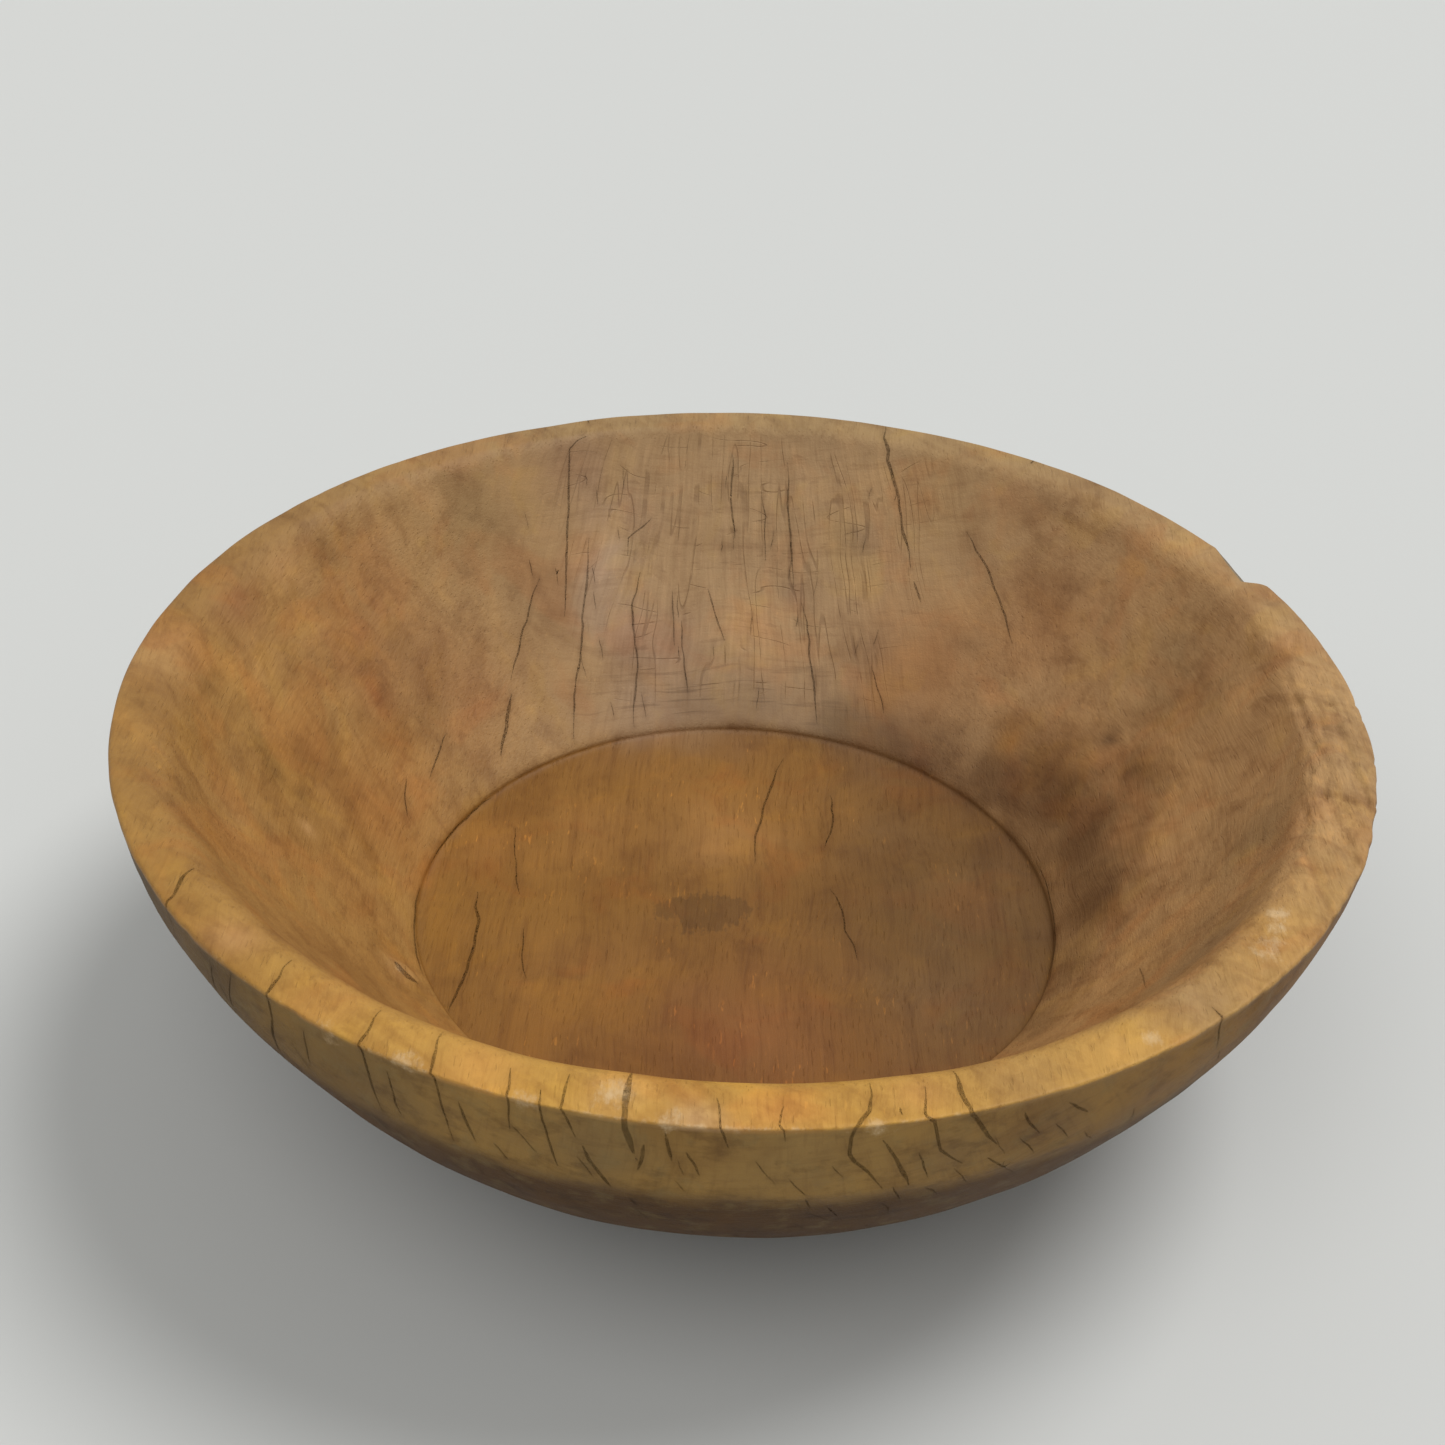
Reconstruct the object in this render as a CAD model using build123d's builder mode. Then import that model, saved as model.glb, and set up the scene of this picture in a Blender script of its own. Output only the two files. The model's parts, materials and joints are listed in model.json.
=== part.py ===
from build123d import *
import os

os.makedirs("parts", exist_ok=True)

# A bowl carved from one half of a log. The grain runs along Y, so the body is full at the
# two ends of the grain and falls away faster at the sides, where the log curved under.
# Lengths are millimetres, angles are degrees counted from +X around +Z.

rim_radius = 280.0  # outer edge of the rim
bowl_height = 178.0  # foot to the top of the rim
foot_inset = 15.0  # how much smaller the foot is than the sunk floor above it
foot_edge = 6.0  # rounding where the foot meets the body
fullness_ends = 2.05  # fullness of the body at the ends of the grain, 1 is a straight cone
fullness_sides = 1.4  # fullness of the body at the sides
body_levels = (0.0, 0.2, 0.45, 0.7, 0.88, 1.0)  # shares of its height where the body is shaped

rim_width = 22.0  # average width of the rim
mouth_shift = 6.0  # the mouth lies this far off centre, along +Y
mouth_edge = 13.0  # worn rounding of the rim's inner edge
rim_band = 6.0  # upright band just under the rim
arris_edge = 2.5  # worn rounding of the rim's outer edge
floor_height = 44.0  # thickness of the base, up to the sunk floor
floor_radius = 155.0  # sunk floor
floor_step = 4.0  # how far the floor is sunk below the foot of the wall
wall_bow = 7.0  # how far the inner wall bows out from a straight slope
wall_levels = (0.0, 0.33, 0.66, 1.0)  # shares of the wall's height where it is shaped

rim_flat = 0.5  # least flat left on the rim between its two worn edges
chip_angle = 21.0  # where the splinter broke across the grain
chip_bite = 15.5  # how deep it bit into the rim there
chip_length = 75.0  # cutter along the grain, longer than the splinter was
chip_skew = 12.0  # how far the broken face turns off the grain
chip_run = 33.0  # how far the broken face slopes outwards
chip_drop = 36.0  # how far it drops on the way

check_gap = 3.0  # width of a drying check where it is widest
cutter_clear = 6.0  # how far each cutter starts beyond the surface
# Checks that open on the outside: angle, reach across the rim, drop down the side.
outer_checks = (
    (-143.5, 22.0, 20.0),
    (-127.0, 22.0, 28.0),
    (-119.5, 23.0, 40.0),
    (-112.5, 22.0, 34.0),
    (-98.0, 25.0, 24.0),
    (-81.0, 20.0, 30.0),
    (-72.5, 23.0, 22.0),
)
# Checks that open on the inner wall: angle, depth into the wall from the mouth, drop.
inner_checks = (
    (73.0, 10.0, 62.0),
    (111.0, 8.0, 60.0),
    (92.0, 5.0, 45.0),
)


foot_radius = floor_radius - foot_inset
band_foot = bowl_height - rim_band
wall_foot = floor_height + floor_step
mouth_radius = rim_radius - rim_width


def body_radius(share, fullness):
    return foot_radius + (rim_radius - foot_radius) * (1 - (1 - share) ** fullness)


def wall_radius(share):
    return floor_radius + (mouth_radius - floor_radius) * share + 4 * wall_bow * share * (1 - share)


with BuildPart() as bowl:
    # Outside of the body, a loft through ovals from the foot to the upright band of the rim.
    for share in body_levels:
        with BuildSketch(Plane.XY.offset(share * band_foot)):
            Ellipse(body_radius(share, fullness_sides), body_radius(share, fullness_ends))
    loft()
    with BuildSketch(Plane.XY.offset(band_foot)):
        Circle(rim_radius)
    extrude(amount=rim_band)

    # Hollow, a loft through circles that drift towards +Y as they rise.
    for share in wall_levels:
        level = wall_foot + share * (bowl_height - wall_foot)
        with BuildSketch(Plane.XY.offset(level)):
            with Locations((0, share * mouth_shift)):
                Circle(wall_radius(share))
    loft(mode=Mode.SUBTRACT)

    # Sunk floor.
    with BuildSketch(Plane.XY.offset(floor_height)):
        Circle(floor_radius)
    extrude(amount=floor_step + cutter_clear, mode=Mode.SUBTRACT)

    # Worn edges: the mouth, the outer edge of the rim and the foot.
    rim_edges = bowl.faces().sort_by(Axis.Z)[-1].edges().sort_by(SortBy.LENGTH)
    fillet(rim_edges[0], min(mouth_edge, rim_width - mouth_shift - arris_edge - rim_flat))
    rim_edges = bowl.faces().filter_by(GeomType.PLANE).sort_by(Axis.Z)[-1].edges().sort_by(SortBy.LENGTH)
    fillet(rim_edges[-1], arris_edge)
    fillet(bowl.faces().sort_by(Axis.Z)[0].edges(), foot_edge)

    # Splinter lost from the rim: a wedge along the grain that runs out at the outside.
    chip_plane = Plane(
        origin=Vector(rim_radius - chip_bite, 0, bowl_height).rotate(Axis.Z, chip_angle),
        x_dir=Vector(1, 0, 0).rotate(Axis.Z, chip_skew),
        z_dir=Vector(0, 1, 0).rotate(Axis.Z, chip_skew),
    )
    with BuildSketch(chip_plane):
        with BuildLine():
            Polyline(
                (0, -cutter_clear),
                (0, 0),
                (chip_run, chip_drop),
                (chip_length, chip_drop),
                (chip_length, -cutter_clear),
                close=True,
            )
        make_face()
    extrude(amount=chip_length, mode=Mode.SUBTRACT)

    # Drying checks through the rim, thin wedges that are widest on the outside.
    for angle, reach, drop in outer_checks:
        with BuildSketch(Plane.XY.offset(bowl_height).rotated((0, 0, angle))):
            with BuildLine():
                Polyline(
                    (rim_radius - reach, 0),
                    (rim_radius + cutter_clear, check_gap / 2),
                    (rim_radius + cutter_clear, -check_gap / 2),
                    close=True,
                )
            make_face()
        extrude(amount=-drop, mode=Mode.SUBTRACT)

    # Drying checks down the inner wall, widest towards the hollow.
    for angle, depth, drop in inner_checks:
        check_foot = wall_radius(1 - drop / (bowl_height - wall_foot)) - cutter_clear
        with BuildSketch(Plane.XY.offset(bowl_height).rotated((0, 0, angle))):
            with BuildLine():
                Polyline(
                    (mouth_radius + depth, 0),
                    (check_foot, check_gap / 2),
                    (check_foot, -check_gap / 2),
                    close=True,
                )
            make_face()
        extrude(amount=-drop, mode=Mode.SUBTRACT)

bowl.part.label = "bowl"
export_step(bowl.part, "parts/bowl.step")
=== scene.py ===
import json
import math
import time

import bpy
import numpy as np
from mathutils import Matrix, Vector
from mathutils.kdtree import KDTree

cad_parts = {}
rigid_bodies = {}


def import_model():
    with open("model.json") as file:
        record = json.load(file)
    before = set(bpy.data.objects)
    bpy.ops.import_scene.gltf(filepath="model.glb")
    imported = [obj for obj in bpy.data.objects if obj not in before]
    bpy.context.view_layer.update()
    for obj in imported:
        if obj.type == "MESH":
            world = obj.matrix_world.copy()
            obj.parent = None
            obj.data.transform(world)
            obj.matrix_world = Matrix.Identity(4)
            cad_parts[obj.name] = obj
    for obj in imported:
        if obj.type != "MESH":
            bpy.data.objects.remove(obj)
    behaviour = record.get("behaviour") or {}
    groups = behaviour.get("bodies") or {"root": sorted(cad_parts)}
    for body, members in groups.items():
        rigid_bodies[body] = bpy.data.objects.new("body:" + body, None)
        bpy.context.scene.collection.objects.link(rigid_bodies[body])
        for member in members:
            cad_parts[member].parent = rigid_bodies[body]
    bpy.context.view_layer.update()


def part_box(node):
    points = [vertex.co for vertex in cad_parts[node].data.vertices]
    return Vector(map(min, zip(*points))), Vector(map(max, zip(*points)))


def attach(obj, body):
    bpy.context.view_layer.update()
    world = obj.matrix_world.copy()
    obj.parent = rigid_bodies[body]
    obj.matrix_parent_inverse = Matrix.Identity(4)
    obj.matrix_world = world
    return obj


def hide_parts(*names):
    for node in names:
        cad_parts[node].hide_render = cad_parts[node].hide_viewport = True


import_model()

bowlLow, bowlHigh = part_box("bowl")
started = time.time()
mm = 0.001


def say(text):
    print(f"[{time.time() - started:5.1f} s] {text}")


# The bowl's proportions, in metres. The grain of the log runs along Y.
shape = {
    "rimRadius": (bowlHigh[0] - bowlLow[0]) / 2,
    "height": bowlHigh[2],
    "footRadius": 0.140,
    "fullnessEnds": 2.05,  # how full the body is at the front and the back, 1 is a cone
    "fullnessSides": 1.40,
    "rimBand": 0.006,
    "rimWidth": 0.022,
    "rimDip": 0.0015,  # how far the flat of the rim falls towards the mouth
    "mouthShift": 0.006,
    "floorHeight": 0.044,
    "floorStep": 0.004,
    "floorRadius": 0.155,
    "floorDish": 0.0015,
    "wallBow": 0.007,
}
bodyHeight = shape["height"] - shape["rimBand"]
wallFoot = shape["floorHeight"] + shape["floorStep"]


# Smooth random fields over space, the same on every run.
latticeSize = 65536
hashPrimes = (73856093, 19349663, 83492791)


def latticeNoise(points, size, seed):
    table = np.random.default_rng(seed).random(latticeSize)
    scaled = points / size
    cell = np.floor(scaled).astype(np.int64)
    part = scaled - cell
    part = part * part * (3 - 2 * part)
    total = np.zeros(len(points))
    for dx in (0, 1):
        for dy in (0, 1):
            for dz in (0, 1):
                corner = (cell + (dx, dy, dz)) * hashPrimes
                key = corner[:, 0] ^ corner[:, 1] ^ corner[:, 2]
                weight = (
                    (part[:, 0] if dx else 1 - part[:, 0])
                    * (part[:, 1] if dy else 1 - part[:, 1])
                    * (part[:, 2] if dz else 1 - part[:, 2])
                )
                total += weight * table[key & (latticeSize - 1)]
    return total * 2 - 1


def roughNoise(points, size, seed, octaves=3):
    total = np.zeros(len(points))
    strength = 1.0
    for octave in range(octaves):
        total += strength * latticeNoise(points, size / 2**octave, seed + octave)
        strength /= 2
    return total / (2 - strength * 2)


def ringNoise(angle, turns, seed):
    circle = np.stack([np.cos(angle), np.sin(angle), np.zeros_like(angle)], axis=-1)
    return roughNoise(circle.reshape(-1, 3), 2 * math.pi / turns, seed).reshape(angle.shape)


def step(value, low, high):
    share = np.clip((value - low) / (high - low), 0, 1)
    return share * share * (3 - 2 * share)


def bump(angle, middle, halfWidth):
    away = np.abs((angle - math.radians(middle) + math.pi) % (2 * math.pi) - math.pi)
    return np.exp(-((away / math.radians(halfWidth)) ** 2))


def softLeast(first, second, blend):
    share = np.clip(0.5 + 0.5 * (second - first) / blend, 0, 1)
    return second * (1 - share) + first * share - blend * share * (1 - share)


# Hand work on the rim: how it wanders in radius, height and width around the bowl.
rimWander = {
    "outOfRound": 0.8 * mm,
    "upAndDown": 0.7 * mm,
    "width": 1.5 * mm,
}


def rimRadius(angle):
    return shape["rimRadius"] - 0.6 * mm + rimWander["outOfRound"] * ringNoise(angle, 9, 11)


def rimHeight(angle):
    return shape["height"] - 0.5 * mm + rimWander["upAndDown"] * ringNoise(angle, 12, 21)


def mouthRadius(angle):
    even = shape["rimRadius"] - shape["rimWidth"] + shape["mouthShift"] * np.sin(angle)
    return even + rimWander["width"] * ringNoise(angle, 14, 31) - 4 * mm * bump(angle, -15, 30)


def outerRadius(height, angle):
    share = np.clip(height / bodyHeight, 0, 1.2)
    under = np.clip(1 - share, 0, 1)
    reach = rimRadius(angle) - shape["footRadius"]
    past = np.clip(share - 1, 0, 1)
    ends = shape["footRadius"] + reach * (1 - under ** shape["fullnessEnds"])
    sides = shape["footRadius"] + reach * (1 - under ** shape["fullnessSides"]) + past * reach
    oval = ends * sides / np.sqrt((ends * np.cos(angle)) ** 2 + (sides * np.sin(angle)) ** 2)
    return softLeast(oval, rimRadius(angle), 5 * mm)


def innerRadius(share, angle):
    mouth = mouthRadius(angle)
    straight = shape["floorRadius"] + (mouth - shape["floorRadius"]) * share
    return straight + 4 * shape["wallBow"] * share * (1 - share)


# The profile runs from the middle of the foot (0) over the foot's edge (1), the rim's outer
# edge (2), the mouth (3) and the foot of the wall (4) to the middle of the floor (5).
def sharpProfile(place, angle):
    place, angle = np.broadcast_arrays(place, angle)
    radius = np.zeros(place.shape)
    height = np.zeros(place.shape)
    top = rimHeight(angle)

    on = place < 1
    radius[on] = shape["footRadius"] * place[on]
    on = (place >= 1) & (place < 2)
    height[on] = (place[on] - 1) * top[on]
    radius[on] = outerRadius(height[on], angle[on])
    on = (place >= 2) & (place < 3)
    outer, mouth = rimRadius(angle[on]), mouthRadius(angle[on])
    radius[on] = outer + (mouth - outer) * (place[on] - 2)
    height[on] = top[on] - shape["rimDip"] * (place[on] - 2)
    on = (place >= 3) & (place < 4)
    share = 4 - place[on]
    radius[on] = innerRadius(share, angle[on])
    height[on] = wallFoot + (top[on] - shape["rimDip"] - wallFoot) * share
    on = place >= 4
    inwards = np.clip((place[on] - 4.03) / 0.97, 0, 1)
    down = np.clip((place[on] - 4) / 0.03, 0, 1)
    radius[on] = (shape["floorRadius"] - 0.6 * mm * down) * (1 - inwards)
    height[on] = wallFoot - shape["floorStep"] * down - shape["floorDish"] * (1 - (1 - inwards) ** 2)
    return radius, height


# Worn corners: place on the profile, and how far the wear reaches before and after it.
def wornCorners(angle):
    front = bump(angle, -90, 60)
    back = bump(angle, 90, 55)
    left = bump(angle, 180, 45)
    right = bump(angle, 0, 35)
    return (
        (1.0, 0.05 + 0 * angle, 0.05 + 0 * angle),
        (2.0, 0.014 + 0.012 * right + 0.01 * left, 0.1 + 0.08 * right + 0.1 * left),
        (3.0, 0.42 + 0.1 * left - 0.15 * back, 0.075 + 0.05 * left - 0.045 * back + 0.02 * front),
        (4.0, 0.028 + 0 * angle, 0.014 + 0 * angle),
        (4.03, 0.014 + 0 * angle, 0.032 + 0 * angle),
    )


def bareSurface(place, angle):
    place, angle = np.broadcast_arrays(np.asarray(place, float), np.asarray(angle, float))
    radius, height = sharpProfile(place, angle)
    for corner, before, after in wornCorners(angle):
        near = (place > corner - before) & (place < corner + after)
        if not near.any():
            continue
        start, end = corner - before[near], corner + after[near]
        share = (place[near] - start) / (end - start)
        spots = (start, np.full_like(start, corner), end)
        radii, heights = zip(*(sharpProfile(spot, angle[near]) for spot in spots))
        weights = ((1 - share) ** 2, 2 * share * (1 - share), share**2)
        radius[near] = sum(weight * value for weight, value in zip(weights, radii))
        height[near] = sum(weight * value for weight, value in zip(weights, heights))
    return np.stack([radius * np.cos(angle), radius * np.sin(angle), height], axis=-1)


def bareNormal(place, angle):
    small = 0.004
    before = bareSurface(np.clip(place - small, 0.001, 5), angle)
    after = bareSurface(np.clip(place + small, 0, 4.999), angle)
    sideways = bareSurface(place, angle + small) - bareSurface(place, angle - small)
    normal = np.cross(sideways, after - before)
    return normal / np.maximum(np.linalg.norm(normal, axis=-1, keepdims=True), 1e-12)


# How the tool and the years left the surface, in metres off the bare shape.
toolMarks = {
    "swell": 1.1 * mm,  # long hollows left by the adze
    "cuts": 0.3 * mm,  # single tool cuts
    "flutes": 0.5 * mm,  # slanting cuts down the left wall
    "fibres": 0.12 * mm,  # ridges along the grain
    "erosion": 2.2 * mm,  # grooves where the side of the rim has worn away
    "nicks": 1.7 * mm,  # chips out of the rim's outer edge
    "ledge": 0.8 * mm,  # break between the side and the underside at the front
    "ledgeHeight": 0.141,
    "knot": 1.3 * mm,  # lip grown around the knot hole low on the wall
}
knotSpot = (-153.5, 3.9)


def carved(place, angle):
    place, angle = np.broadcast_arrays(np.asarray(place, float), np.asarray(angle, float))
    points = bareSurface(place, angle)
    flat = points.reshape(-1, 3)
    spot, turn = place.reshape(-1), angle.reshape(-1)
    onFoot = 1 - step(spot, 0.9, 1.1)
    onFloor = step(spot, 4.0, 4.05)
    onRim = step(spot, 1.9, 2.05) * (1 - step(spot, 2.85, 3.1))
    onWall = step(spot, 2.95, 3.2) * (1 - step(spot, 3.8, 4.0))
    away = toolMarks["swell"] * roughNoise(flat, 0.075, 41, 2) * (1 - 0.75 * onFloor)
    away += toolMarks["cuts"] * latticeNoise(flat, 0.019, 47)
    x, y, z = flat.T
    slanted = np.stack([x + y, 0.15 * (x - y), 0.3 * z], axis=-1)
    away += toolMarks["flutes"] * latticeNoise(slanted, 0.013, 49) * onWall * bump(turn, -172, 30)
    along = flat * np.array([1, 0.08, 1])
    sideGrain = step(np.abs(np.cos(turn)), 0.35, 0.8)
    away += toolMarks["fibres"] * latticeNoise(along, 0.004, 53) * sideGrain
    weathered = np.maximum(bump(turn, -12, 24), 0.6 * bump(turn, -45, 14))
    away -= toolMarks["erosion"] * np.clip(latticeNoise(along, 0.0055, 59), 0, 1) * onRim * weathered
    away -= toolMarks["erosion"] * np.clip(latticeNoise(flat, 0.0045, 60) - 0.2, 0, 1) * onRim * weathered
    edge = np.exp(-(((spot - 2.0) / 0.05) ** 2))
    gnawed = 1 + 2.2 * bump(turn, -38, 16)
    away -= toolMarks["nicks"] * np.clip(roughNoise(flat, 0.016, 61, 2) - 0.3, 0, 1) * edge * gnawed
    atLedge = np.exp(-(((z - toolMarks["ledgeHeight"]) / 0.004) ** 2)) * (spot < 2)
    away += toolMarks["ledge"] * atLedge * bump(turn, -88, 32)
    fromKnot = np.linalg.norm(flat - bareSurface(knotSpot[1], math.radians(knotSpot[0])), axis=1)
    away += toolMarks["knot"] * np.exp(-(((fromKnot - 7 * mm) / 0.003) ** 2))
    away *= 1 - onFoot
    return points + bareNormal(place, angle) * away.reshape(points.shape[:-1])[..., None]


# Rings of the mesh along the profile: start, end and how many.
ringRuns = (
    (0.02, 0.9, 5),
    (0.9, 1.1, 5),
    (1.1, 1.72, 18),
    (1.72, 1.95, 14),
    (1.95, 2.12, 12),
    (2.12, 2.6, 9),
    (2.6, 3.12, 15),
    (3.12, 3.95, 33),
    (3.95, 4.06, 13),
    (4.06, 4.98, 15),
)
around = 540


# Triangles of a grid of points, row after row. Flat faces keep the later cuts clean.
def gridFaces(rows, columns, wrap):
    row = np.arange(rows - 1)[:, None] * columns
    side = np.arange(columns if wrap else columns - 1)
    after = (side + 1) % columns
    a, b, c, d = row + side, row + after, row + columns + after, row + columns + side
    return np.stack([np.stack([a, b, c], axis=-1), np.stack([a, c, d], axis=-1)], axis=2).reshape(-1, 3)


def addPiece(name, verts, faces):
    mesh = bpy.data.meshes.new(name)
    mesh.from_pydata(np.asarray(verts).tolist(), [], faces)
    mesh.update()
    piece = bpy.data.objects.new(name, mesh)
    bpy.context.scene.collection.objects.link(piece)
    return piece


def ringPlaces():
    places = [np.linspace(start, end, count, endpoint=False) for start, end, count in ringRuns]
    return np.append(np.concatenate(places), ringRuns[-1][1])


def buildBowl():
    places = ringPlaces()
    angles = np.linspace(-math.pi, math.pi, around, endpoint=False)
    verts = carved(places[:, None], angles[None, :]).reshape(-1, 3)
    faces = gridFaces(len(places), around, True).tolist()
    side = np.arange(around)
    after = (side + 1) % around
    top = side + (len(places) - 1) * around
    bottomMiddle, topMiddle = len(verts), len(verts) + 1
    faces += [(bottomMiddle, int(b), int(a)) for a, b in zip(side, after)]
    faces += [(topMiddle, int(a), int(b)) for a, b in zip(top, after + top[0])]
    verts = np.vstack([verts, verts[:around].mean(axis=0), verts[-around:].mean(axis=0)])
    return addPiece("carved_bowl", verts, faces)


# Drying checks: gap and depth in millimetres, then the way each one runs, as angle and place.
checks = {
    "front rim": (
        (1.8, 14, ((-146, 2.7), (-143, 2.2), (-142, 1.9))),
        (1.8, 14, ((-130, 2.7), (-128, 2.1), (-128, 1.92), (-130, 1.75))),
        (1.6, 14, ((-120, 2.7), (-119, 2.1), (-118, 1.8))),
        (1.5, 12, ((-114.5, 2.8), (-112.5, 2.05), (-111.5, 1.8))),
        (1.3, 10, ((-107.5, 2.55), (-106.5, 2), (-106.5, 1.9))),
        (1.5, 10, ((-104.5, 2.3), (-104, 1.96), (-103, 1.82))),
        (1.4, 10, ((-103, 2.65), (-102.5, 2), (-101.5, 1.92))),
        (3.0, 20, ((-98.5, 2.9), (-98, 2.1), (-98, 1.97), (-97, 1.88))),
        (1.3, 8, ((-91.5, 2.55), (-91, 2), (-90.5, 1.94))),
        (1.1, 8, ((-86.5, 2.45), (-87, 2.1), (-86.5, 1.96))),
        (2.0, 18, ((-79.5, 2.75), (-80.5, 2.3), (-82, 1.97), (-82, 1.92), (-79, 1.8))),
        (1.7, 14, ((-75.5, 2.6), (-76.5, 2.1), (-75, 1.9), (-73, 1.84))),
        (2.4, 18, ((-72.5, 2.8), (-73, 2.25), (-73, 2), (-70.5, 1.88))),
        (0.9, 5, ((-78, 2.3), (-78, 2.15))),
        (1.5, 12, ((-50, 2.3), (-50.5, 2), (-50, 1.9))),
    ),
    "front outside": (
        (1.3, 8, ((-135.5, 1.95), (-136.5, 1.84))),
        (1.4, 8, ((-132.5, 1.98), (-134.5, 1.82))),
        (1.2, 8, ((-124.5, 1.95), (-125, 1.83))),
        (1.6, 9, ((-110.5, 1.94), (-109.5, 1.83))),
        (2.0, 10, ((-101, 1.9), (-100, 1.84), (-99, 1.78))),
        (2.0, 9, ((-96.5, 1.93), (-97, 1.85))),
        (1.8, 9, ((-95, 1.97), (-94.5, 1.89))),
        (1.5, 8, ((-93.5, 1.92), (-92.5, 1.85))),
        (2.0, 10, ((-79.5, 1.95), (-78, 1.88), (-77, 1.8))),
        (1.3, 8, ((-71, 1.84), (-69, 1.78))),
        (1.3, 8, ((-69, 1.97), (-67, 1.88))),
        (1.4, 8, ((-65, 1.95), (-63, 1.9))),
        (1.2, 6, ((-116.5, 1.95), (-116, 1.82))),
    ),
    "back wall": (
        (1.5, 9, ((110, 2.86), (112, 3), (114, 3.25), (117.5, 3.55), (118.5, 3.6))),
        (1.2, 7, ((109, 2.0), (109, 2.3))),
        (1.4, 8, ((120.5, 3.46), (127.5, 3.66), (131, 3.74))),
        (2.2, 12, ((132, 3.78), (136, 3.87), (140, 3.93))),
        (1.5, 9, ((112, 3.36), (113.5, 3.5), (118, 3.73), (124.5, 3.98))),
        (1.5, 9, ((105.5, 3.5), (107.5, 3.6), (108.5, 3.8), (111.5, 3.98))),
        (1.1, 5, ((103, 3.32), (106.5, 3.38), (107, 3.44))),
        (1.0, 6, ((101, 3.57), (101.5, 3.75))),
        (1.1, 6, ((100, 3.67), (100, 3.9))),
        (1.2, 6, ((95.5, 3.57), (93, 3.74))),
        (1.3, 7, ((92, 3.1), (92, 3.25), (91.5, 3.4))),
        (1.0, 6, ((88, 3.25), (87, 3.47))),
        (1.3, 7, ((85, 3.12), (84, 3.35), (82.5, 3.56))),
        (1.3, 8, ((81, 3.6), (79.5, 3.66), (78.5, 3.76), (74.5, 3.97))),
        (2.2, 14, ((74, 2.1), (73.5, 2.75), (72.5, 3.07), (70, 3.2), (68.5, 3.3), (66, 3.42))),
        (1.4, 8, ((65, 3.46), (63, 3.52))),
        (1.7, 9, ((60, 3.25), (54.5, 3.37), (51, 3.46), (47, 3.54))),
        (1.0, 5, ((67.5, 3.76), (62.5, 3.89))),
        (1.1, 5, ((56, 2.02), (56, 2.3))),
    ),
    "side walls and floor": (
        (1.1, 5, ((147, 3.79), (156, 3.86))),
        (1.2, 6, ((160, 3.81), (166, 3.88))),
        (1.5, 9, ((147, 4.03), (158, 4.02), (170, 4.02))),
        (1.9, 9, ((178, 4.01), (-172, 4.0), (-163, 3.99), (-157, 3.985))),
        (2.0, 10, ((176.5, 4.2), (-174, 4.21), (-166, 4.195), (-158, 4.15), (-152, 4.09), (-148, 4.04))),
        (1.1, 5, ((152, 4.19), (165, 4.28), (176, 4.33))),
        (0.9, 5, ((-170, 4.35), (-150, 4.3))),
        (1.6, 8, ((79.5, 4.17), (81, 4.42), (81, 4.6), (76.5, 4.75))),
        (1.2, 5, ((63.5, 4.31), (50, 4.56))),
        (1.4, 6, ((23, 4.68), (-12, 4.66), (-29, 4.58))),
        (1.1, 5, ((15, 3.99), (-2, 4.0), (-20, 4.0))),
        (1.0, 5, ((-29, 3.6), (-37, 3.47))),
        (9, 9, ((-155.2, 3.872), (-154.3, 3.885), (-153, 3.91), (-152, 3.935))),
    ),
}

# Hair checks strewn over the end grain: how many, their angles, their places, how far each one
# runs as angle and place, and the widest gap in millimetres.
hairChecks = {
    "front side": {
        "count": 34,
        "angles": (-140, -45),
        "places": (1.72, 1.93),
        "run": (1.6, -0.07),
        "gap": 1.1,
    },
    "front underside": {
        "count": 22,
        "angles": (-125, -55),
        "places": (1.5, 1.72),
        "run": (1.8, -0.06),
        "gap": 0.9,
    },
    "back side": {
        "count": 34,
        "angles": (45, 135),
        "places": (1.6, 1.96),
        "run": (-1.2, -0.08),
        "gap": 1.2,
    },
    "back wall": {
        "count": 30,
        "angles": (66, 122),
        "places": (3.12, 3.9),
        "run": (0.2, 0.07),
        "gap": 0.7,
    },
}


# Which way the wood lies under a spot on the surface.
def intoWood(place, angle, points):
    inwards = -bareNormal(place, angle)
    top = rimHeight(angle)
    heartHeight = np.clip(points[:, 2], 0.03, top - 22 * mm)
    share = np.clip((heartHeight - wallFoot) / (top - wallFoot), 0, 1)
    heartRadius = (outerRadius(heartHeight, angle) + innerRadius(share, angle)) / 2
    heart = np.stack([heartRadius * np.cos(angle), heartRadius * np.sin(angle), heartHeight], axis=-1)
    inner = step(place, 3.05, 3.25)[:, None]
    return unit(unit(heart - points) * (1 - inner) + inwards * inner)


def unit(vectors):
    return vectors / np.maximum(np.linalg.norm(vectors, axis=-1, keepdims=True), 1e-9)


def wave(along, length, random):
    knots = max(3, int(along[-1] / length) + 1)
    return np.interp(along, np.linspace(0, along[-1], knots), random.normal(0, 1, knots))


checkWork = {
    "stride": 2.2 * mm,
    "wander": 0.5 * mm,
    "lift": 1.2 * mm,  # how far each wedge starts above the surface
    "ends": 0.22,  # share of its length over which a check closes at each end
    "open": 0.72,  # share of the listed gap that is left open
}
checkSpots = []


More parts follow.
